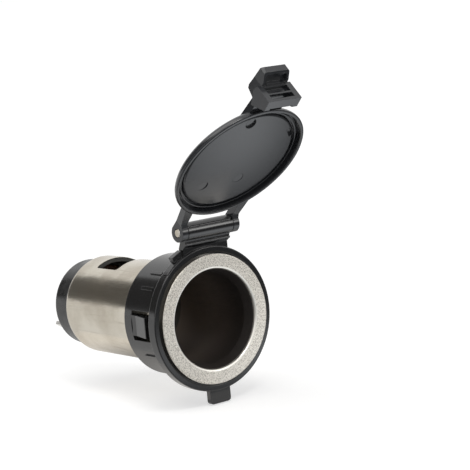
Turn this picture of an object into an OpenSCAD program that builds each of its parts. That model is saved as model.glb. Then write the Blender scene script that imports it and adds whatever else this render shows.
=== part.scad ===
// Panel-mounted 12 volt power socket for a car, with a hinged snap-down cover.
// The origin is on the socket's axis, in the plane where the bezel meets the panel.
// +Y runs along the axis to the terminals, the mouth faces -Y, and the hinge is at the top, +Z.

/* [Shell] */
// Inside diameter of the well that takes the plug
bore_d = 21.5; // [21:0.1:22]
// Wall thickness of the drawn steel shell
shell_wall = 1.1; // [0.8:0.1:1.2]
// Length of the shell from its front face to its closed end
shell_len = 45.1; // [44:0.1:50]
// Diameter of the polished flange round the mouth
flange_d = 30.1; // [29:0.1:30.4]
// Thickness of the polished flange
flange_t = 1; // [0.8:0.1:1.2]
// Diameter of the well's tapered lead-in at the mouth
mouth_d = 23.2; // [23:0.1:23.4]
// Radius of the rolled edge at the mouth
mouth_r = 0.5; // [0.4:0.1:0.6]
// Outside radius of the closed end's shoulder
shoulder_r = 1.6; // [1.3:0.1:2]
// Length of the window in the top of the shell
window_len = 8.5; // [6:0.1:10]
// Width of the window, measured straight across
window_w = 11.7; // [8:0.1:12]
// Distance from the panel plane to the middle of the window
window_y = 30.4; // [24:0.1:34]

/* [Bezel and collar] */
// Diameter of the bezel that covers the panel hole
bezel_d = 33.6; // [32.8:0.1:35]
// Distance from the panel to the bezel's front lip
bezel_t = 2.5; // [2.4:0.05:2.6]
// How far the polished flange stands in front of the bezel's lip
flange_proud = 0.85; // [0.8:0.05:0.95]
// Diameter of the recess that the polished flange lies in
recess_d = 30.9; // [30.7:0.1:31.4]
// Diameter of the collar that fits the panel hole
collar_d = 28.6; // [28:0.1:28.8]
// Length of the collar behind the panel plane
collar_len = 13.2; // [12:0.1:16]
// Width of the catch tab below the bezel
catch_w = 5.9; // [5:0.1:6.2]
// Distance from the axis to the end of the catch tab
catch_reach = 19.75; // [19:0.05:19.9]
// Thickness of the catch tab
catch_t = 1.3; // [1:0.1:1.4]
// Where the raised band on the bezel's side begins and ends, in degrees from the socket's right side
band_angles = [115, 134];
// Angle of the small lug beside the hinge, measured from the socket's right side
lug_angle = 116.3; // [115:0.1:120]

/* [Snap tabs and ribs] */
// Width of each snap tab
snap_w = 4.8; // [4:0.1:6]
// Distance from the panel plane to a snap tab's free end
snap_front = 3.4; // [3.2:0.1:4]
// Distance from the panel plane to a snap tab's root
snap_root = 10; // [9:0.1:11]
// Height that a snap tab stands above the collar
snap_rise = 0.9; // [0.5:0.1:1.2]
// Width of the slots above and below a snap tab
snap_slot = 1.1; // [0.8:0.1:1.3]
// Width of the gap in front of a snap tab
snap_gap = 0.2; // [0.2:0.05:0.5]
// Thickness of a snap tab
snap_t = 1.3; // [1:0.1:1.5]
// Angles of the crush ribs, measured from the socket's right side
rib_angles = [36, 53, -31, 144, 127, 211];
// Width of a crush rib
rib_w = 0.8; // [0.5:0.1:1.2]
// Height of a crush rib
rib_h = 0.3; // [0.2:0.05:0.4]
// Length of a crush rib
rib_len = 4.2; // [3:0.1:5]

/* [Hinge] */
// Height of the hinge pin above the socket's axis
hinge_z = 21.16; // [20.8:0.01:21.6]
// Distance of the hinge pin in front of the panel plane
hinge_front = 2.76; // [2.6:0.01:2.9]
// Diameter of the steel hinge pin
pin_d = 2; // [1.6:0.1:2.2]
// Length of the hinge pin
pin_len = 16.5; // [16.4:0.1:16.8]
// Outside diameter of the hinge barrel and the knuckles
barrel_d = 4.22; // [4:0.02:4.3]
// Length of the hinge barrel
barrel_len = 12.8; // [12:0.1:12.8]
// Width of each knuckle of the cover
knuckle_w = 1.65; // [1.5:0.05:1.8]
// Angle between the closed cover and the cover as drawn
cover_open = 136; // [0:1:176]

/* [Cover] */
// Diameter of the cover
cover_d = 32.8; // [32.4:0.1:33]
// Diameter of the raised disc inside the cover
disc_d = 28.4; // [28:0.1:28.6]
// Height of the slight dome on the raised disc, over the mouth
dome = 0.5; // [0.2:0.1:0.6]
// Gap between the raised disc and the polished flange when the cover is shut
seat_gap = 0.05; // [0.05:0.01:0.15]
// Thickness of the cover in its middle
cover_t = 2.1; // [1.8:0.1:2.4]
// Width of an arm where it meets the cover
arm_w = 2.6; // [2.2:0.1:3]
// Radius of the round pin marks on the raised disc
mark_r = 1.35; // [1:0.05:1.5]

/* [Latch] */
// Width of the latch's neck and finger lip
latch_w = 7; // [6:0.1:7.2]
// Width of the latch's box over the catch tab
box_w = 9.2; // [9.1:0.1:10]
// Distance from the hinge pin to the end of the finger lip
latch_reach = 46.8; // [46:0.1:48]
// Distance from the hinge pin to the far face of the box
box_far = 43.4; // [43:0.1:43.8]

/* [Rear end] */
// Diameter of the rear insulator
cap_d = 21.1; // [19:0.1:21.4]
// Length of the rear insulator behind the shell
cap_len = 5.95; // [5:0.05:7]
// Angle of the side terminal round the axis
side_angle = 240; // [200:5:330]
// Distance of the side terminal's blade from the axis
side_r = 7; // [6.8:0.1:7.4]
// Width of the terminal blades
blade_w = 6.3; // [4.8:0.1:6.3]
// Thickness of the terminal blades
blade_t = 0.8; // [0.5:0.1:0.8]
// Length of the terminal blades behind the insulator
blade_len = 7.45; // [7:0.05:9]
// Diameter of the centre rivet
rivet_d = 3; // [2.5:0.1:3.2]
// Diameter of the small rivet
side_rivet_d = 2; // [1.8:0.1:2.2]

/* [Hidden] */
$fn = 96;

black_plastic = [0.16, 0.16, 0.17];
plated_steel = [0.80, 0.78, 0.75];
brass_colour = [0.80, 0.66, 0.36];
phenolic = [0.33, 0.20, 0.12];

slack = 0.05;
bore_r = bore_d / 2;
tube_r = bore_r + shell_wall;
flange_r = flange_d / 2;
lip_y = -bezel_t;
front_y = lip_y - flange_proud;
recess_y = front_y + flange_t;
end_y = front_y + shell_len;
floor_y = end_y - shell_wall;
flange_edge = 0.2;
lead_y = -0.2;
flange_fillet = 0.4;
floor_fillet = 1.6;
boss_r = 3;
window_corner = 0.8;

bezel_r = bezel_d / 2;
bezel_edge = 0.25;
recess_r = recess_d / 2;
collar_r = collar_d / 2;
collar_bore_r = tube_r + slack;
collar_chamfer = 0.5;
collar_mouth = 0.6;
band_rise = 0.25;
band_y = [-2.4, -0.7];
catch_y = -1.15;
catch_corner = 0.8;
rib_y = 3.9;

hinge_y = -hinge_front;
barrel_r = barrel_d / 2;
pin_r = pin_d / 2;
knuckle_gap = 0.15;
knuckle_in = barrel_len / 2 + knuckle_gap;
knuckle_out = knuckle_in + knuckle_w;
pin_hole_r = pin_r + 0.05;
block_front = -2.95;
block_rear = -0.85;
neck_front = -1.9;
neck_rear = -0.3;
block_low = 15.2;
ridge_r = 0.3;
lug_r = 18.1;
lug_y = [-1.5, -0.05];
lug_half = 1.5;

cover_r = cover_d / 2;
disc_r = disc_d / 2;
disc_edge = 0.7;
seat_r = mouth_d / 2 + mouth_r;
dome_r = seat_r * seat_r / (2 * dome);
disc_h = front_y - hinge_y - seat_gap;
rim_h = lip_y - hinge_y - seat_gap;
edge_r = 2.2;
edge_h = 1.9;
edge_y = rim_h - 0.3;
arm_front = rim_h - 0.25;
arm_back = rim_h - 1.9;

insulator_r = 9.6;
seat_depth = 0.4;
insulator_t = 1.2;
contact_r = 5.6;
contact_t = 0.4;
contact_rim = 0.4;
rivet_r = rivet_d / 2;
rivet_hole_r = rivet_r + slack;
head_r = 2.6;
head_h = 0.4;
tail_r = 2.3;
tail_h = 0.8;
cap_r = cap_d / 2;
cap_y = end_y + cap_len;
cap_edge = 0.8;
side_rivet_r = side_rivet_d / 2;
side_rivet_at = 5.1;
side_head_r = 1.8;
side_head_h = 0.4;
tip_chamfer = 1;
blade_hole_r = 0.9;
centre_blade_at = 3.9;
plate_near = box_far - 1.4;
box_in = hinge_front - 0.05;
finger_d = 44.9;
finger_h = -2.75;
finger_w = 5.8;
finger_len = 2.1;

// Points of a circular or elliptical arc, from one angle to another
function arc(centre, rx, ry, from, to, steps) =
    [for (i = [0 : steps]) let (a = from + (to - from) * i / steps)
        centre + [rx * cos(a), ry * sin(a)]];

// Outline of a rectangle with round corners, centred on the origin
function round_box(w, h, r) =
    [for (q = [0 : 3]) let (sx = (q == 0 || q == 3) ? 1 : -1, sy = q < 2 ? 1 : -1)
        each arc([sx * (w / 2 - r), sy * (h / 2 - r)], r, r, 90 * q, 90 * q + 90, 6)];

// Turns a profile of [radius, distance along the axis] round the socket's axis
module turned(points) {
    rotate([-90, 0, 0]) rotate_extrude() polygon(points);
}

// A straight round bar or hole along the socket's axis, from one distance to another
module axial(r, from, to) {
    translate([0, from, 0]) rotate([-90, 0, 0]) cylinder(h = to - from, r = r);
}

// Extrudes an outline of [y, z] points across the socket, centred on the middle plane
module across(w) {
    rotate([90, 0, 90]) linear_extrude(w, center = true) children();
}

// Extrudes an outline of [x, z] points along the axis, from one distance to another
module along(from, to) {
    translate([0, to, 0]) rotate([90, 0, 0]) linear_extrude(to - from) children();
}

// Steel cup drawn from sheet: a turned-out flange, a tapered mouth, a window and a closed end
module socket_shell() {
    color(plated_steel)
    difference() {
        turned(concat(
            arc([mouth_d / 2 + mouth_r, front_y + mouth_r], mouth_r, mouth_r, 180, 270, 6),
            arc([flange_r - flange_edge, front_y + flange_edge], flange_edge, flange_edge, 270, 360, 3),
            [[flange_r, recess_y]],
            arc([tube_r + flange_fillet, recess_y + flange_fillet], flange_fillet, flange_fillet,
                270, 180, 3),
            arc([tube_r - shoulder_r, end_y - shoulder_r], shoulder_r, shoulder_r, 0, 90, 6),
            [[boss_r + slack, end_y], [boss_r + slack, floor_y]],
            arc([bore_r - floor_fillet, floor_y - floor_fillet], floor_fillet, floor_fillet, 90, 0, 4),
            [[bore_r, lead_y]]));
        translate([0, window_y, bore_r / 2])
            linear_extrude(bore_r) polygon(round_box(window_w, window_len, window_corner));
        rotate([0, -side_angle, 0]) translate([side_rivet_at, 0, 0])
            axial(side_rivet_r + slack, floor_y - 1, end_y + 1);
    }
}

// Outline of the hinge block, as [y, z] points, from the bezel up to the barrel
function block_outline() = concat(
    [[neck_rear, block_low], [neck_rear, 17.2], [block_rear, 18.4], [block_rear, hinge_z]],
    [[hinge_y - barrel_r * cos(60), hinge_z - barrel_r * sin(60) + 0.3],
     [block_front, 19.4], [block_front, 17.9], [neck_front, 17.2], [neck_front, block_low]]);

// One snap tab on the right side: its ramp, its slots and the relief behind it
module snap_slots() {
    outer = snap_w + 2 * snap_slot;
    translate([collar_r - 4, snap_front - snap_gap, -outer / 2])
        cube([6, snap_root - snap_front + snap_gap, outer]);
}

module snap_tab() {
    across_tab = snap_w / 2;
    inner = collar_r - snap_t;
    translate([0, 0, -across_tab]) linear_extrude(snap_w)
        polygon([[inner, snap_front], [collar_r + snap_rise, snap_front],
                 [collar_r + snap_rise, snap_front + 0.3], [collar_r - 0.15, snap_root - 1.6],
                 [collar_r - 0.15, snap_root + 0.4], [inner - 0.6, snap_root + 0.4],
                 [inner, snap_root - 0.8]]);
}

// One moulding: bezel, collar, hinge block, catch tab, snap tabs and crush ribs
module bezel_collar() {
    color(black_plastic)
    difference() {
        union() {
            difference() {
                turned(concat(
                    [[collar_bore_r + collar_mouth, recess_y], [recess_r, recess_y], [recess_r, lip_y + 0.1],
                     [recess_r + 0.1, lip_y]],
                    arc([bezel_r - bezel_edge, lip_y + bezel_edge], bezel_edge, bezel_edge, 270, 360, 4),
                    arc([bezel_r - 0.2, -0.2], 0.2, 0.2, 0, 90, 2),
                    [[collar_r, 0], [collar_r, collar_len - collar_chamfer],
                     [collar_r - collar_chamfer, collar_len], [collar_bore_r, collar_len],
                     [collar_bore_r, recess_y + collar_mouth]]));
                for (side = [0, 180]) rotate([0, side, 0]) snap_slots();
            }
            for (side = [0, 180]) rotate([0, side, 0]) snap_tab();
            for (a = rib_angles) rotate([0, -a, 0])
                translate([collar_r - 0.5, rib_y, -rib_w / 2]) cube([0.5 + rib_h, rib_len, rib_w]);
            raised_band();
            side_lug();
            hinge_block();
            catch_tab();
        }
        translate([-barrel_len, hinge_y, hinge_z]) rotate([0, 90, 0])
            cylinder(h = 2 * barrel_len, r = pin_r + 0.01);
        barrel_groove();
    }
}

// Short raised band on the bezel's left side, below the lug
module raised_band() {
    outer = bezel_r + band_rise;
    inner = recess_r + 0.6;
    along(band_y[0], band_y[1]) polygon(concat(
        arc([0, 0], outer, outer, band_angles[0], band_angles[1], 8),
        arc([0, 0], inner, inner, band_angles[1], band_angles[0], 8)));
}

// Small square lug on the bezel's rear edge, on the left of the hinge
module side_lug() {
    rotate([0, -lug_angle, 0]) translate([recess_r, lug_y[0], -lug_half])
        cube([lug_r - recess_r, lug_y[1] - lug_y[0], 2 * lug_half]);
}

module hinge_block() {
    across(barrel_len) polygon(block_outline());
    translate([-barrel_len / 2, hinge_y, hinge_z]) rotate([0, 90, 0])
        cylinder(h = barrel_len, r = barrel_r);
    for (z = [18.15, 19.05])
        translate([-barrel_len / 2, block_front + 0.1, z]) rotate([0, 90, 0])
            cylinder(h = barrel_len, r = ridge_r, $fn = 24);
}

// Shallow groove along the upper front of the barrel
module barrel_groove() {
    a = 35;
    translate([0, hinge_y - barrel_r * cos(a), hinge_z + barrel_r * sin(a)])
        rotate([0, 90, 0]) cylinder(h = barrel_len + 1, r = 0.28, center = true, $fn = 24);
}

// Flat tab under the bezel, with two round corners
module catch_tab() {
    low = -catch_reach + catch_corner;
    half = catch_w / 2;
    along(catch_y - catch_t, catch_y)
        polygon(concat(
            [[half, -recess_r - 0.4]],
            arc([half - catch_corner, low], catch_corner, catch_corner, 0, -90, 5),
            arc([-half + catch_corner, low], catch_corner, catch_corner, -90, -180, 5),
            [[-half, -recess_r - 0.4]]));
}

// Straight steel pin through the barrel and both knuckles
module hinge_pin() {
    end = 0.15;
    color(plated_steel)
    translate([-pin_len / 2, hinge_y, hinge_z]) rotate([0, 90, 0])
        rotate_extrude() polygon([[0, 0], [pin_r - end, 0], [pin_r, end], [pin_r, pin_len - end],
                                  [pin_r - end, pin_len], [0, pin_len]]);
}

// The cover's own place: its hinge at the origin, shut, reaching down from it
module cover_place() {
    translate([0, hinge_y, hinge_z]) rotate([-cover_open, 0, 0]) children();
}

// Turns [distance from the hinge, depth] into the [y, z] of the shut cover
function shut(points) = [for (p = points) [p[1], -p[0]]];

module cover() {
    color(black_plastic)
    cover_place()
    difference() {
        union() {
            translate([0, 0, -hinge_z]) turned(cover_profile());
            for (side = [-1, 1]) knuckle(side);
            difference() {
                union() {
                    for (side = [-1, 1]) arm(side);
                    latch_neck();
                }
                translate([0, 0, -hinge_z]) axial(cover_r - 0.95, disc_h - 1, 10);
            }
            latch_box();
        }
        disc_marks();
        translate([-knuckle_out - 1, 0, 0]) rotate([0, 90, 0])
            cylinder(h = 2 * knuckle_out + 2, r = pin_hole_r);
    }
}

// Depth of the domed disc's face at a distance from its middle
function disc_face(r) = disc_h + dome - r * r / (2 * dome_r);

// Half section of the round cover, as [radius, depth]: disc, groove, ridge, groove and rim
function cover_profile() = concat(
    [for (i = [0 : 11]) let (r = (disc_r - disc_edge) * i / 12) [r, disc_face(r)]],
    arc([disc_r - disc_edge, disc_face(disc_r - disc_edge) - disc_edge], disc_edge, disc_edge, 90, 0, 6),
    [[disc_r, disc_h - 0.9], [disc_r + 0.35, disc_h - 0.9], [disc_r + 0.35, disc_h - 0.15],
     [disc_r + 0.65, disc_h - 0.15], [disc_r + 0.65, disc_h - 1], [cover_r - 0.95, disc_h - 1],
     [cover_r - 0.95, rim_h - 0.2], [cover_r - 0.75, rim_h]],
    arc([cover_r - 0.3, rim_h - 0.3], 0.3, 0.3, 90, 0, 3),
    arc([cover_r - edge_r, edge_y], edge_r, edge_h, 0, -90, 10),
    [[cover_r - 6, edge_y - edge_h - 0.25], [cover_r - 11, disc_h - cover_t + 0.05], [0, disc_h - cover_t]]);

// Round knuckle on the pin, beside the barrel
module knuckle(side) {
    middle = knuckle_in + knuckle_w / 2;
    translate([side * middle, 0, 0]) rotate([0, 90, 0])
        cylinder(h = knuckle_w, r = barrel_r, center = true);
}

// Web from a knuckle to the cover, widening as it goes
module arm(side) {
    inside = side * knuckle_in;
    foot = side * (knuckle_in + arm_w);
    intersection() {
        along(-barrel_r - 1, barrel_r + 1)
            polygon([[inside, 1], [side * knuckle_out, 1], [side * knuckle_out, -2.2],
                     [foot, -7.6], [foot, -9], [inside, -9]]);
        across(40) polygon(shut([[-0.5, -barrel_r], [9, arm_back], [9, arm_front],
                                 [2.9, arm_front], [2, 0.6], [-0.5, barrel_r]]));
    }
}

// Round moulding marks and a small slot on the raised disc
module disc_marks() {
    translate([0, 0, -hinge_z]) {
        for (m = [[-7.45, 6.3, 0.12], [2.05, 5.4, 0.12], [-2.35, -12.1, 0.35]])
            translate([m[0], 0, m[1]]) axial(mark_r, disc_face(norm([m[0], m[1]])) - m[2], disc_h + 1);
        translate([11.3, disc_h - 0.8, -7]) rotate([0, 38, 0])
            translate([-0.5, 0, -1.5]) cube([1, 1.5, 3]);
    }
}

// Neck, outward step and finger lip of the snap latch at the cover's tip
module latch_neck() {
    difference() {
        latch_lip();
        translate([0, 0, -finger_d]) along(finger_h, 0) polygon(round_box(finger_w, finger_len, 0.7));
    }
}

module latch_lip() {
    half = latch_w / 2;
    bevel = 0.6;
    intersection() {
        across(20) polygon(shut([
            [34, -2.1], [39.5, -2.6], [40.2, -4.95], [41, -5.25], [latch_reach - 0.4, -4.6],
            [latch_reach, -4.3], [latch_reach - 0.25, -2.95], [box_far + 1, -1.9],
            [plate_near, -1.9], [plate_near - 1, -0.9], [38, -0.7], [34, -0.6]]));
        along(-6, 4) polygon(concat(
            [for (p = [[5.4, 34], [half + 0.2, 39.6], [half, box_far], [half, latch_reach - bevel],
                       [half - bevel, latch_reach]]) [p[0], -p[1]]],
            [for (p = [[half - bevel, latch_reach], [half, latch_reach - bevel], [half, box_far],
                       [half + 0.2, 39.6], [5.4, 34]]) [-p[0], -p[1]]]));
    }
}

// Open box that drops over the catch tab: two cheeks, a ribbed end plate and an end wall
module latch_box() {
    cheek = (box_w - catch_w) / 2 - 0.2;
    cavity = box_w - 2 * cheek;
    difference() {
        across(box_w) polygon(shut([[38.7, -1.3], [40.7, box_in], [box_far, box_in],
                                    [box_far, -2.2], [plate_near, -2.6]]));
        across(cavity) polygon(shut([[38, -0.9], [plate_near, -0.9], [plate_near, box_in - 0.7],
                                     [41.1, box_in - 0.7], [41.1, box_in + 1], [38, box_in + 1]]));
        for (pocket = [[-1.4, 0.3], [0.75, box_in - 0.7]])
            translate([-cavity / 2, pocket[0], -box_far - 1])
                cube([cavity, pocket[1] - pocket[0], 1.8 + (pocket[0] > 0 ? 1.4 : 0)]);
    }
}

module inner_insulator() {
    top = floor_y - insulator_t;
    color(phenolic)
    difference() {
        turned([[rivet_hole_r, top + seat_depth], [contact_r + 0.2, top + seat_depth],
                [contact_r + 0.4, top],
                [insulator_r - 0.4, top], [insulator_r, top + 0.4], [insulator_r, floor_y - 0.7],
                [insulator_r - 0.7, floor_y], [rivet_hole_r, floor_y]]);
        rotate([0, -side_angle, 0]) translate([side_rivet_at, 0, 0])
            axial(side_head_r + 0.3, floor_y - side_head_h - 0.15, floor_y + 1);
    }
}

// Dished brass washer that the plug's tip presses on
module centre_contact() {
    back = floor_y - insulator_t + seat_depth;
    front = back - contact_t;
    color(brass_colour)
    turned([[rivet_hole_r, front], [contact_r - contact_t - 0.5, front],
            [contact_r - contact_t, front - contact_rim], [contact_r, front - contact_rim],
            [contact_r, back - 0.2], [contact_r - 0.2, back], [rivet_hole_r, back]]);
}

// Moulded insulator behind the shell, with a boss through the shell's end
module rear_insulator() {
    color(black_plastic)
    difference() {
        turned(concat(
            [[rivet_hole_r, floor_y], [boss_r, floor_y], [boss_r, end_y], [cap_r, end_y]],
            arc([cap_r - cap_edge, cap_y - cap_edge], cap_edge, cap_edge, 0, 90, 5),
            [[rivet_hole_r, cap_y]]));
        rotate([0, -side_angle, 0]) {
            translate([3.6, end_y - 1, -blade_w / 2 - 0.1])
                cube([side_r + blade_t - 3.5, blade_t + 1 + slack, blade_w + 0.2]);
            translate([side_r - 0.1, end_y - 1, -blade_w / 2 - 0.1])
                cube([blade_t + 0.2, cap_len + 2, blade_w + 0.2]);
            translate([side_rivet_at, 0, 0])
                axial(side_head_r + 0.2, end_y - 1, end_y + blade_t + side_head_h + 0.2);
        }
    }
}

// Solid rivet through the contact, both insulators and the centre terminal
module centre_rivet() {
    front = floor_y - insulator_t + seat_depth - contact_t;
    back = cap_y + blade_t;
    color(brass_colour)
    turned(concat(
        [[0, front - head_h]],
        arc([head_r - 1, front - 0.1], 1, head_h - 0.1, 270, 360, 5),
        [[head_r, front], [rivet_r, front], [rivet_r, back], [tail_r, back], [tail_r, back + tail_h / 2],
         [tail_r - 0.5, back + tail_h], [0, back + tail_h]]));
}

// Blade of a terminal, standing on its foot, with a tapered tip and a locking hole
module blade(from) {
    tip = cap_y + blade_len;
    half = blade_w / 2;
    difference() {
        rotate([90, 0, 90]) linear_extrude(blade_t)
            polygon([[from, -half], [tip - tip_chamfer, -half], [tip, -half + tip_chamfer],
                     [tip, half - tip_chamfer], [tip - tip_chamfer, half], [from, half]]);
        translate([-1, tip - 3, 0]) rotate([0, 90, 0]) cylinder(h = 3, r = blade_hole_r, $fn = 32);
    }
}

// Brass terminal on the rear insulator, bent up at right angles
module centre_terminal() {
    color(brass_colour)
    rotate([0, 180 - side_angle, 0]) difference() {
        union() {
            translate([-3.4, cap_y, -blade_w / 2]) cube([centre_blade_at + blade_t + 3.4, blade_t, blade_w]);
            translate([centre_blade_at, 0, 0]) blade(cap_y);
        }
        axial(rivet_hole_r, cap_y - 1, cap_y + 2);
    }
}

// Brass terminal riveted to the shell's end, its blade passing out through the insulator
module side_terminal() {
    color(brass_colour)
    rotate([0, -side_angle, 0]) difference() {
        union() {
            translate([3.7, end_y, -blade_w / 2]) cube([side_r + blade_t - 3.7, blade_t, blade_w]);
            translate([side_r, 0, 0]) blade(end_y);
        }
        translate([side_rivet_at, 0, 0]) axial(side_rivet_r + slack, end_y - 1, end_y + 2);
    }
}

// Small rivet between the shell's end and the side terminal
module side_rivet() {
    inner = floor_y - side_head_h;
    outer = end_y + blade_t;
    color(plated_steel)
    rotate([0, -side_angle, 0]) translate([side_rivet_at, 0, 0]) turned([
        [0, inner], [side_head_r - 0.3, inner], [side_head_r, floor_y], [side_rivet_r, floor_y],
        [side_rivet_r, outer], [side_head_r, outer], [side_head_r - 0.3, outer + side_head_h],
        [0, outer + side_head_h]]);
}

socket_shell();
bezel_collar();
hinge_pin();
cover();
inner_insulator();
centre_contact();
rear_insulator();
centre_rivet();
centre_terminal();
side_terminal();
side_rivet();
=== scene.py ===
import math

import bpy
import numpy as np
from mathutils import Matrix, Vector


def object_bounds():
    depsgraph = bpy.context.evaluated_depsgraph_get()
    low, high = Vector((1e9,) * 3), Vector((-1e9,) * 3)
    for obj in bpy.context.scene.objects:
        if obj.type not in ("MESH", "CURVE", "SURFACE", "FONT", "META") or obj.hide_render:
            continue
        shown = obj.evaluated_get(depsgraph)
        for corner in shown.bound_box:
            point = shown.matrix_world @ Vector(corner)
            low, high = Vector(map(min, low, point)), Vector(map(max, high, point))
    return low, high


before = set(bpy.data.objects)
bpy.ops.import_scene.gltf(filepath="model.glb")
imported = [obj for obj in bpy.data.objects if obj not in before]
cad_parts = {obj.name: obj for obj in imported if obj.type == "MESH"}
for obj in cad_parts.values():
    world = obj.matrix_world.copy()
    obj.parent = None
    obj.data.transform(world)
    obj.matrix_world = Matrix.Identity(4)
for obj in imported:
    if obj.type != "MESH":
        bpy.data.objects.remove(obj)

cad_low, cad_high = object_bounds()

# Camera
# A long lens looks into the mouth from the front left and a little above, with the picture
# turned by about five degrees. Lengths are in metres, in the frame of the solids.

VIEW_SIDE = math.radians(-38.027)
VIEW_UP = math.radians(8.127)
VIEW_ROLL = math.radians(-5.205)
CAMERA_PLACE = (-0.26631, -0.35376, 0.08181)
SENSOR_WIDTH = 36.0
FOCAL_LENGTH = 149.51
NEAREST = 0.02
FURTHEST = 20.0


def stand_at(thing, across, upward, away, place):
    """Puts thing at place, with its own x, y and z along the three directions."""
    placed = np.eye(4)
    placed[:3] = np.column_stack([across, upward, away, place])
    thing.matrix_world = placed.T.tolist()
    bpy.context.scene.collection.objects.link(thing)


back = np.array([math.sin(VIEW_SIDE) * math.cos(VIEW_UP),
                 -math.cos(VIEW_SIDE) * math.cos(VIEW_UP), math.sin(VIEW_UP)])
level = np.array([math.cos(VIEW_SIDE), math.sin(VIEW_SIDE), 0.0])
upright = np.cross(back, level)
right = math.cos(VIEW_ROLL) * level + math.sin(VIEW_ROLL) * upright
up = -math.sin(VIEW_ROLL) * level + math.cos(VIEW_ROLL) * upright

lens = bpy.data.cameras.new("camera")
lens.sensor_fit = "HORIZONTAL"
lens.sensor_width = SENSOR_WIDTH
lens.lens = FOCAL_LENGTH
lens.clip_start = NEAREST
lens.clip_end = FURTHEST
camera = bpy.data.objects.new("camera", lens)
stand_at(camera, right, up, back, CAMERA_PLACE)
bpy.context.scene.camera = camera
bpy.context.scene.view_settings.view_transform = "Standard"

# Studio
# A white paper sweep in a white room, a large soft light overhead, a small one high in front and one
# Glowing cards, mostly dark, lie and stand round the socket for its gloss alone to show: painted
# reflections, among them a painted pool of light and a painted shadow under the tube.

MM = 0.001
WHITE = (1.0, 1.0, 1.0, 1.0)
ROOM_LEVEL = 0.40
PAPER = (0.60, 0.60, 0.60, 1.0)
LIFT_NEAR = 0.61
LIFT_FAR = 0.80
LIFT_REACH = (0.12, 0.75)
GLOSS_SHARE = 0.72
FLOOR_HALF = 6.0
FLOOR_GAP = 0.3 * MM


def node(tree, kind, links=None, **settings):
    """Adds a node, sets its properties, and links or sets each named or numbered input."""
    made = tree.nodes.new(kind)
    for key, value in settings.items():
        setattr(made, key, value)
    for key, value in (links or {}).items():
        if isinstance(value, bpy.types.NodeSocket):
            tree.links.new(value, made.inputs[key])
        else:
            made.inputs[key].default_value = value
    return made


def ramp(tree, value, low, high, start=0.0, end=1.0):
    """Turns value smoothly from start at low to end at high, and holds it outside."""
    return node(tree, "ShaderNodeMapRange",
                {"Value": value, "From Min": low, "From Max": high, "To Min": start, "To Max": end},
                interpolation_type="SMOOTHSTEP").outputs["Result"]


def combine(tree, how, a, b):
    """One arithmetic step on two values."""
    return node(tree, "ShaderNodeMath", {0: a, 1: b}, operation=how).outputs[0]


def seen_white(tree, share=1.0):
    """1 for camera rays, and share for rays that show the background in gloss or through glass."""
    path = node(tree, "ShaderNodeLightPath").outputs
    indirect = combine(tree, "MAXIMUM", path["Is Glossy Ray"], path["Is Transmission Ray"])
    return combine(tree, "MAXIMUM", path["Is Camera Ray"], combine(tree, "MULTIPLY", indirect, share))


def empty_material(name):
    """A new material, its node tree cleared of the default nodes, and its Object coordinates."""
    made = bpy.data.materials.new(name)
    made.use_nodes = True
    made.node_tree.nodes.clear()
    return made, made.node_tree, node(made.node_tree, "ShaderNodeTexCoord").outputs["Object"]


def show(tree, shader):
    """Makes shader the surface of the material that the tree belongs to."""
    node(tree, "ShaderNodeOutputMaterial", {"Surface": shader.outputs[0]})


def distance_from(tree, spot, centre):
    """How far each point is from centre."""
    return node(tree, "ShaderNodeVectorMath", {0: spot, 1: centre},
                operation="DISTANCE").outputs["Value"]


def new_mesh(name, points, faces):
    """Makes a mesh object at the origin from a list of points and faces."""
    data = bpy.data.meshes.new(name)
    data.from_pydata(np.asarray(points, float).tolist(), [], np.asarray(faces).tolist())
    made = bpy.data.objects.new(name, data)
    bpy.context.scene.collection.objects.link(made)
    return made


def flat_mesh(name, x, y, z):
    """A level rectangle at height z, between two x and two y."""
    return new_mesh(name, [(x[0], y[0], z), (x[1], y[0], z), (x[1], y[1], z), (x[0], y[1], z)],
                    [(0, 1, 2, 3)])


world = bpy.data.worlds.new("studio")
bpy.context.scene.world = world
world.use_nodes = True
room = world.node_tree
room.nodes.clear()
room_level = combine(room, "MAXIMUM", seen_white(room), ROOM_LEVEL)
glow = node(room, "ShaderNodeBackground", {"Color": WHITE, "Strength": room_level})
node(room, "ShaderNodeOutputWorld", {"Surface": glow.outputs[0]})

floor_z = cad_low[2] - FLOOR_GAP
sweep = flat_mesh("sweep", (-FLOOR_HALF, FLOOR_HALF), (-FLOOR_HALF, FLOOR_HALF), floor_z)
paper, tree, spot = empty_material("sweep_paper")
plain = node(tree, "ShaderNodeBsdfDiffuse", {"Color": PAPER})
brighter = ramp(tree, distance_from(tree, spot, (0.0, 0.0, 0.0)), *LIFT_REACH, LIFT_NEAR, LIFT_FAR)
lift = node(tree, "ShaderNodeEmission",
            {"Color": WHITE, "Strength": combine(tree, "MULTIPLY", seen_white(tree, GLOSS_SHARE), brighter)})
show(tree, node(tree, "ShaderNodeAddShader", {0: plain.outputs[0], 1: lift.outputs[0]}))
sweep.data.materials.append(paper)

WARM_GREY = (1.0, 0.97, 0.93, 1.0)
COOL_GREY = (0.94, 0.97, 1.0, 1.0)
CARD_COLUMNS = 41
CARD_ROWS = 9
CARD_Z = floor_z + 1.0 * MM
# Centres and reaches of a painted pool of light and of a painted shadow, both seen only in gloss.
PAINTED_POOL_CENTRE = (0.040, -0.040, floor_z)
PAINTED_POOL_REACH = (0.0, 0.060)
SHADE_CENTRE = (0.012, 0.030, floor_z)
SHADE_REACH = (0.030, 0.012)


def painted_reflection(name, tint, tone, centre=None, reach=None, near=1.0):
    """A glowing card of one grey, for a painted reflection. With a reach it fades from the level near,
    at the first distance from centre, to its own grey at the second."""
    made, tree, spot = empty_material(name)
    card_glow = node(tree, "ShaderNodeEmission", {"Color": tint, "Strength": tone})
    if reach:
        fade = ramp(tree, distance_from(tree, spot, centre), *reach, near, tone)
        tree.links.new(fade, card_glow.inputs["Strength"])
    show(tree, card_glow)
    return made


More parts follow.
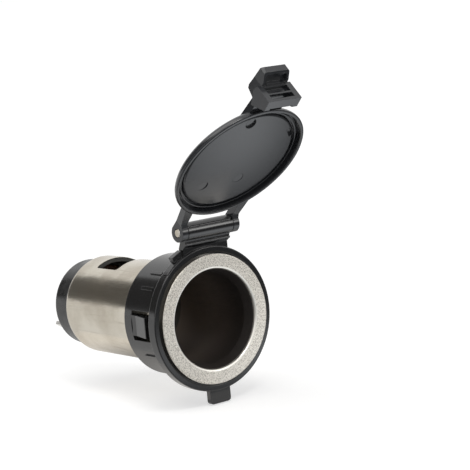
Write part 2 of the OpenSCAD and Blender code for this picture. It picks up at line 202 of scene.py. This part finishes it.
def gloss_only(card, glow_material):
    """Gives the card its material and hides it from camera, diffuse and shadow rays, so that only gloss
    sees it and it neither shows nor shades.
    """
    card.data.materials.append(glow_material)
    card.visible_camera = False
    card.visible_diffuse = False
    card.visible_shadow = False


def bent_card(name, distance, azimuths, foot, tops, glow_material):
    """A card bent round the socket: x = D sin a, y = D cos a, z = D tan e, for azimuth a from +Y
    towards +X and elevation e = foot + t (top(a) - foot), where t goes from 0 to 1 and top(a) goes
    evenly from the first of tops to the second. Angles are given in degrees."""
    part, t = np.meshgrid(np.linspace(0.0, 1.0, CARD_COLUMNS), np.linspace(0.0, 1.0, CARD_ROWS))
    a = np.radians(azimuths[0] + part * (azimuths[1] - azimuths[0]))
    top = tops[0] + part * (tops[1] - tops[0])
    e = np.radians(foot + t * (top - foot))
    points = distance * np.stack([np.sin(a), np.cos(a), np.tan(e)], -1).reshape(-1, 3)
    corner = (np.arange(CARD_ROWS - 1)[:, None] * CARD_COLUMNS + np.arange(CARD_COLUMNS - 1)).ravel()
    quads = np.stack([corner, corner + 1, corner + CARD_COLUMNS + 1, corner + CARD_COLUMNS], 1)
    gloss_only(new_mesh(name, points, quads), glow_material)


# Painted reflections: a grey card behind the socket on the left and a black one low in front on the right.
bent_card("rear_card", distance=0.35, azimuths=(-95.0, -10.0), foot=7.5, tops=(52.0, 40.0),
          glow_material=painted_reflection("grey_painted_reflection", WARM_GREY, 0.12))
bent_card("low_card", distance=0.70, azimuths=(95.0, 185.0), foot=-1.4, tops=(3.0, 3.0),
          glow_material=painted_reflection("black_painted_reflection", WARM_GREY, 0.05))
# The table and front cards glow brightest near one spot and fade to dark grey: a painted pool of light.
painted_pool_of_light = painted_reflection("painted_pool_of_light_card", COOL_GREY, 0.18, PAINTED_POOL_CENTRE, PAINTED_POOL_REACH, near=1.7)
gloss_only(flat_mesh("table_card", x=(0.040, 0.70), y=(-0.70, 0.50), z=CARD_Z), painted_pool_of_light)
gloss_only(flat_mesh("front_card", x=(-0.45, 0.040), y=(-0.70, -0.010), z=CARD_Z), painted_pool_of_light)
# Under the tube a card grey in its middle and white round it, seen only in gloss: a painted shadow.
gloss_only(flat_mesh("foot_card", x=(-0.018, 0.040), y=(0.0, 0.060), z=CARD_Z),
           painted_reflection("painted_foot_shadow", WARM_GREY, 0.40, SHADE_CENTRE, SHADE_REACH))

LAMP_WHITE = (1.0, 0.99, 0.97)
AIM = (0.0, 0.01, 0.01)


def soft_light(name, place, size, power):
    """A square soft box at place, facing AIM."""
    lamp = bpy.data.lights.new(name, "AREA")
    lamp.shape = "SQUARE"
    lamp.size = size
    lamp.energy = power
    lamp.color = LAMP_WHITE
    away = np.subtract(place, AIM)
    away /= np.linalg.norm(away)
    across = np.cross([0.0, 1.0, 0.0], away)
    across /= np.linalg.norm(across)
    stand_at(bpy.data.objects.new(name, lamp), across, np.cross(away, across), away, place)


soft_light("top_box", place=(-0.22, 0.08, 0.60), size=0.50, power=1.2)
soft_light("key_box", place=(-0.15, -0.34, 0.58), size=0.20, power=1.1)
soft_light("front_box", place=(0.42, -0.54, 0.20), size=0.16, power=0.32)

# Plated steel
# The shell, hinge pin and small rivet are mild steel with a satin nickel plate. The shell's drawn wall
# is wavy, with faint lines along it, its flange's face is blasted, and its well is dark and dull, with
# painted light that makes it lighter further in.

STEEL_BRIGHT = (0.62, 0.58, 0.50, 1.0)
STEEL_DULL = (0.48, 0.435, 0.36, 1.0)
STEEL_LINE = (0.42, 0.375, 0.31, 1.0)
STEEL_FACE = (0.89, 0.85, 0.775, 1.0)
STEEL_GRAIN = (0.31, 0.28, 0.24, 1.0)
# The lip's bright colour is a painted highlight round the mouth.
STEEL_LIP_PAINTED_HIGHLIGHT = (0.90, 0.87, 0.80, 1.0)
STEEL_MOUTH = (0.021, 0.0165, 0.0140, 1.0)
# Further in the well is painted lighter: painted light.
STEEL_WELL_PAINTED_LIGHT = (0.175, 0.140, 0.118, 1.0)
# The window's cut faces and the tube's inside behind it are painted dark: painted shade.
STEEL_WINDOW_PAINTED_SHADE = (0.075, 0.074, 0.068, 1.0)

# Each finish, painted highlight, painted light and painted shade takes over from the wall's between
# these radii, and between these places along the axis.
# In the well the colour goes from a dark tone at the mouth to a lighter one further in over WELL_DEPTHS;
# the lighter tone further in is painted light where less light reaches.
WELL_RADII = (11.68 * MM, 11.56 * MM)
WELL_STARTS = (-2.90 * MM, -2.65 * MM)
WELL_DEPTHS = (0.0, 14.0 * MM)
FACE_RADII = (12.05 * MM, 12.15 * MM)
FACE_STARTS = (-3.19 * MM, -3.25 * MM)
LIP_RADII = (12.20 * MM, 12.10 * MM)
LIP_STARTS = (-2.50 * MM, -2.60 * MM)
WINDOW_SHADE_RADII = (11.82 * MM, 11.75 * MM)
WINDOW_SHADE_STARTS = (24.0 * MM, 24.5 * MM)

# The marks of a noise are about 1 / scale metres apart. A colour or a roughness goes from its first
# value to its second between two levels of the noise.
PATCH_SCALE = 95.0
PATCH_COLOUR_LEVELS = (0.35, 0.70)
PATCH_ROUGH_LEVELS = (0.30, 0.75)
GRAIN_SCALE = 4400.0
GRAIN_COLOUR_LEVELS = (0.42, 0.70)
GRAIN_ROUGH_LEVELS = (0.30, 0.70)
LINE_SCALE = 1500.0
LINE_STRETCH = 0.05
LINE_COLOUR_LEVELS = (0.54, 0.80)
WAVE_SCALE = 260.0
WAVE_STRETCH = 0.45
WALL_ROUGH = (0.17, 0.26)
FACE_MORE_ROUGH = (0.28, 0.40)
WELL_MORE_ROUGH = 0.36
LIP_MORE_ROUGH = 0.12
# The share of the well's colour that is dull, not metal.
WELL_NONMETAL_SHARE = 0.9
GRAIN_DEPTH = 0.012 * MM
GRAIN_STRENGTH = 0.9
WAVE_DEPTH = 0.05 * MM
LINE_DEPTH = 0.006 * MM
STEEL_EDGE = 0.22 * MM


def noise(tree, vector, scale, detail=4.0, rough=0.55):
    """Fractal noise from 0 to 1."""
    return node(tree, "ShaderNodeTexNoise",
                {"Vector": vector, "Scale": scale, "Detail": detail, "Roughness": rough}).outputs[0]


def drawn_out(tree, spot, stretch):
    """Coordinates that make a pattern 1 / stretch times as long along the socket's axis."""
    return node(tree, "ShaderNodeMapping", {"Vector": spot, "Scale": (1.0, stretch, 1.0)}).outputs[0]


def bump(tree, height, depth, normal, strength=0.5):
    """Tilts normal by the slope of height, whose full range is depth."""
    return node(tree, "ShaderNodeBump", {"Height": height, "Distance": depth, "Strength": strength,
                                         "Normal": normal}).outputs["Normal"]


def round_edges(tree, radius):
    """The normal of the surface with its sharp edges rounded to radius."""
    return node(tree, "ShaderNodeBevel", {"Radius": radius}, samples=4).outputs["Normal"]


def blend_colour(tree, factor, a, b):
    """Colour a at factor 0 and b at 1."""
    return node(tree, "ShaderNodeMix", {0: factor, 6: a, 7: b}, data_type="RGBA").outputs[2]


def round_the_axis(tree, spot):
    """Distance from the socket's axis, and distance along it."""
    parts = node(tree, "ShaderNodeSeparateXYZ", {0: spot}).outputs
    flat = node(tree, "ShaderNodeCombineXYZ", {0: parts["X"], 2: parts["Z"]}).outputs[0]
    return distance_from(tree, flat, (0.0, 0.0, 0.0)), parts["Y"]


def zone(tree, radius, along, radii, starts):
    """1 where radius is past the second of radii and along is past the second of starts, and 0
    where either is not yet at its first."""
    return combine(tree, "MULTIPLY", ramp(tree, radius, *radii), ramp(tree, along, *starts))


def add_part(tree, value, mask, more):
    """value + mask times more."""
    return combine(tree, "ADD", value, combine(tree, "MULTIPLY", mask, more))


def finish_node(names, material):
    """Gives each named solid this one material in place of its own."""
    for name in names:
        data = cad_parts[name].data
        data.materials.clear()
        data.materials.append(material)


steel, tree, spot = empty_material("satin_nickel")
radius, along = round_the_axis(tree, spot)

inside = zone(tree, radius, along, WELL_RADII, WELL_STARTS)
face = zone(tree, radius, along, FACE_RADII, FACE_STARTS)
# The mouth's lip, painted brighter as a highlight.
lip = zone(tree, radius, along, LIP_RADII, LIP_STARTS)
# The window's cut faces and the inside behind them, painted dark as shade.
window_painted_shade = zone(tree, radius, along, WINDOW_SHADE_RADII, WINDOW_SHADE_STARTS)

patches = noise(tree, spot, PATCH_SCALE, detail=5.0)
grain = noise(tree, spot, GRAIN_SCALE, detail=3.0, rough=0.7)
lines = noise(tree, drawn_out(tree, spot, LINE_STRETCH), LINE_SCALE)
waves = noise(tree, drawn_out(tree, spot, WAVE_STRETCH), WAVE_SCALE)

wall_colour = blend_colour(tree, ramp(tree, patches, *PATCH_COLOUR_LEVELS), STEEL_BRIGHT, STEEL_DULL)
wall_colour = blend_colour(tree, ramp(tree, lines, *LINE_COLOUR_LEVELS), wall_colour, STEEL_LINE)
face_colour = blend_colour(tree, ramp(tree, grain, *GRAIN_COLOUR_LEVELS), STEEL_FACE, STEEL_GRAIN)
# The well's colour lightens further in: painted light.
well_colour_and_painted_light = blend_colour(tree, ramp(tree, along, *WELL_DEPTHS), STEEL_MOUTH, STEEL_WELL_PAINTED_LIGHT)
colour = wall_colour
for mask, finish in ((face, face_colour), (lip, STEEL_LIP_PAINTED_HIGHLIGHT), (inside, well_colour_and_painted_light), (window_painted_shade, STEEL_WINDOW_PAINTED_SHADE)):
    colour = blend_colour(tree, mask, colour, finish)

rough = ramp(tree, patches, *PATCH_ROUGH_LEVELS, *WALL_ROUGH)
rough = add_part(tree, rough, face, ramp(tree, grain, *GRAIN_ROUGH_LEVELS, *FACE_MORE_ROUGH))
rough = add_part(tree, rough, inside, WELL_MORE_ROUGH)
rough = add_part(tree, rough, lip, LIP_MORE_ROUGH)
metal = combine(tree, "SUBTRACT", 1.0, combine(tree, "MULTIPLY", inside, WELL_NONMETAL_SHARE))

surface = bump(tree, grain, GRAIN_DEPTH, round_edges(tree, STEEL_EDGE),
               combine(tree, "MULTIPLY", face, GRAIN_STRENGTH))
surface = bump(tree, waves, WAVE_DEPTH, surface, combine(tree, "SUBTRACT", 1.0, face))
surface = bump(tree, lines, LINE_DEPTH, surface)
show(tree, node(tree, "ShaderNodeBsdfPrincipled",
                {"Base Color": colour, "Metallic": metal, "Roughness": rough, "Normal": surface}))
finish_node(["socket_shell", "hinge_pin", "side_rivet"], steel)

# Black mouldings
# The bezel with its collar, the cover and the rear insulator are injection-moulded in black glass-filled
# nylon, with a satin skin from the tool. The cover is a shade greyer, and the insulator's skin is duller.

BEZEL_BLACK = (0.0100, 0.0100, 0.0104)
COVER_BLACK = (0.0245, 0.0260, 0.0295)
INSULATOR_BLACK = (0.0110, 0.0110, 0.0110)
SATIN_ROUGH = (0.12, 0.18)
CLOUDED_ROUGH = (0.18, 0.46)
PLAIN_IOR = 1.63
COVER_IOR = 1.55
WIDE_CLOUDS = 70.0
FINE_CLOUDS = 340.0
CLOUD_COLOUR_LEVELS = (0.30, 0.70)
CLOUD_ROUGH_LEVELS = (0.30, 0.75)
CLOUD_EDGE_LEVELS = (0.35, 0.75)
CLOUD_DARK = 0.82
CLOUD_LIGHT = 1.25
# Edges are lifted lighter: partly rubbed wear, partly a painted highlight.
EDGE_WEAR_AND_HIGHLIGHT_LIFT = 0.035
EDGE_WEAR_AND_HIGHLIGHT_SHARE = (0.25, 1.0)
EDGE_PRODUCT = (0.985, 0.80)
SKIN_SCALE = 4200.0
SKIN_ROUGH = 0.06
SKIN_DEPTH = 0.003 * MM
MOULDED_EDGE = 0.16 * MM


def edge_mask(tree, rounded):
    """0 on open surface and 1 on a sharp edge. It rises as the dot product of the rounded and the
    true normal falls from the first of EDGE_PRODUCT to the second."""
    true = node(tree, "ShaderNodeNewGeometry").outputs["Normal"]
    product = node(tree, "ShaderNodeVectorMath", {0: rounded, 1: true},
                   operation="DOT_PRODUCT").outputs["Value"]
    return ramp(tree, product, *EDGE_PRODUCT)


def black_moulding(name, tone, roughness, ior, cloud_scale):
    """Satin black plastic: fine skin texture, flow clouds, and edges a little lighter, partly rubbed
    wear and partly a painted highlight.
    """
    made, tree, spot = empty_material(name)
    skin = noise(tree, spot, SKIN_SCALE, detail=3.0, rough=0.6)
    clouds = noise(tree, spot, cloud_scale)
    rounded = round_edges(tree, MOULDED_EDGE)
    # Lighter edges: partly rubbed wear, partly a painted highlight.
    wear_and_edge_highlight = combine(tree, "MULTIPLY", edge_mask(tree, rounded),
                   ramp(tree, clouds, *CLOUD_EDGE_LEVELS, *EDGE_WEAR_AND_HIGHLIGHT_SHARE))
    dark = [CLOUD_DARK * part for part in tone] + [1.0]
    light = [CLOUD_LIGHT * part for part in tone] + [1.0]
    rubbed_and_highlit = [EDGE_WEAR_AND_HIGHLIGHT_LIFT + part for part in tone] + [1.0]
    colour = blend_colour(tree, ramp(tree, clouds, *CLOUD_COLOUR_LEVELS), dark, light)
    colour = blend_colour(tree, wear_and_edge_highlight, colour, rubbed_and_highlit)
    rough = add_part(tree, ramp(tree, clouds, *CLOUD_ROUGH_LEVELS, *roughness), skin, SKIN_ROUGH)
    show(tree, node(tree, "ShaderNodeBsdfPrincipled",
                    {"Base Color": colour, "Roughness": rough, "IOR": ior,
                     "Normal": bump(tree, skin, SKIN_DEPTH, rounded)}))
    return made


finish_node(["bezel_collar"],
            black_moulding("bezel_black", BEZEL_BLACK, SATIN_ROUGH, PLAIN_IOR, WIDE_CLOUDS))
finish_node(["cover"],
            black_moulding("cover_black", COVER_BLACK, SATIN_ROUGH, COVER_IOR, WIDE_CLOUDS))
finish_node(["rear_insulator"],
            black_moulding("insulator_black", INSULATOR_BLACK, CLOUDED_ROUGH, PLAIN_IOR, FINE_CLOUDS))

# Contacts
# The centre contact and both blades are stamped from half-hard brass strip, which keeps its rolling
# lines and darkens a little in the air. The contact's rivet is brass too, and the blades are tinned.

BRASS_FRESH = (0.78, 0.56, 0.24, 1.0)
BRASS_AIRED = (0.60, 0.40, 0.16, 1.0)
BRASS_ROUGH = (0.20, 0.36)
TIN_FRESH = (0.90, 0.89, 0.86, 1.0)
TIN_AIRED = (0.74, 0.73, 0.70, 1.0)
TIN_ROUGH = (0.42, 0.56)
ROLL_SCALE = 4200.0
ROLL_STRETCH = 0.06
ROLL_ROUGH = 0.06
ROLL_DEPTH = 0.003 * MM
AIR_SCALE = 240.0
AIR_COLOUR_LEVELS = (0.35, 0.72)
AIR_ROUGH_LEVELS = (0.30, 0.75)
STAMPED_EDGE = 0.08 * MM


def rolled_strip(name, fresh, aired, roughness):
    """Rolled metal strip: lines along the rolling direction, and patches that the air has dulled."""
    made, tree, spot = empty_material(name)
    rolled = noise(tree, drawn_out(tree, spot, ROLL_STRETCH), ROLL_SCALE, detail=3.0)
    air = noise(tree, spot, AIR_SCALE, detail=5.0)
    colour = blend_colour(tree, ramp(tree, air, *AIR_COLOUR_LEVELS), fresh, aired)
    rough = add_part(tree, ramp(tree, air, *AIR_ROUGH_LEVELS, *roughness), rolled, ROLL_ROUGH)
    show(tree, node(tree, "ShaderNodeBsdfPrincipled",
                    {"Base Color": colour, "Metallic": 1.0, "Roughness": rough,
                     "Normal": bump(tree, rolled, ROLL_DEPTH, round_edges(tree, STAMPED_EDGE))}))
    return made


finish_node(["centre_contact", "centre_rivet"],
            rolled_strip("rolled_brass", BRASS_FRESH, BRASS_AIRED, BRASS_ROUGH))
finish_node(["centre_terminal", "side_terminal"],
            rolled_strip("tinned_brass", TIN_FRESH, TIN_AIRED, TIN_ROUGH))

# Inner insulator
# A washer punched from brown phenolic paper board, pressed flat and left matt. It lies on the
# well's floor and keeps the centre contact off the shell.

BOARD_DARK = (0.075, 0.036, 0.019, 1.0)
BOARD_LIGHT = (0.140, 0.070, 0.036, 1.0)
BOARD_ROUGH = (0.50, 0.66)
FIBRE_SCALE = 900.0
FIBRE_COLOUR_LEVELS = (0.30, 0.70)
FIBRE_ROUGH_LEVELS = (0.30, 0.80)
FIBRE_DEPTH = 0.01 * MM
PUNCHED_EDGE = 0.08 * MM

board, tree, spot = empty_material("phenolic_board")
fibres = noise(tree, spot, FIBRE_SCALE, detail=6.0, rough=0.7)
colour = blend_colour(tree, ramp(tree, fibres, *FIBRE_COLOUR_LEVELS), BOARD_DARK, BOARD_LIGHT)
rough = ramp(tree, fibres, *FIBRE_ROUGH_LEVELS, *BOARD_ROUGH)
show(tree, node(tree, "ShaderNodeBsdfPrincipled",
                {"Base Color": colour, "Roughness": rough,
                 "Normal": bump(tree, fibres, FIBRE_DEPTH, round_edges(tree, PUNCHED_EDGE))}))
finish_node(["inner_insulator"], board)
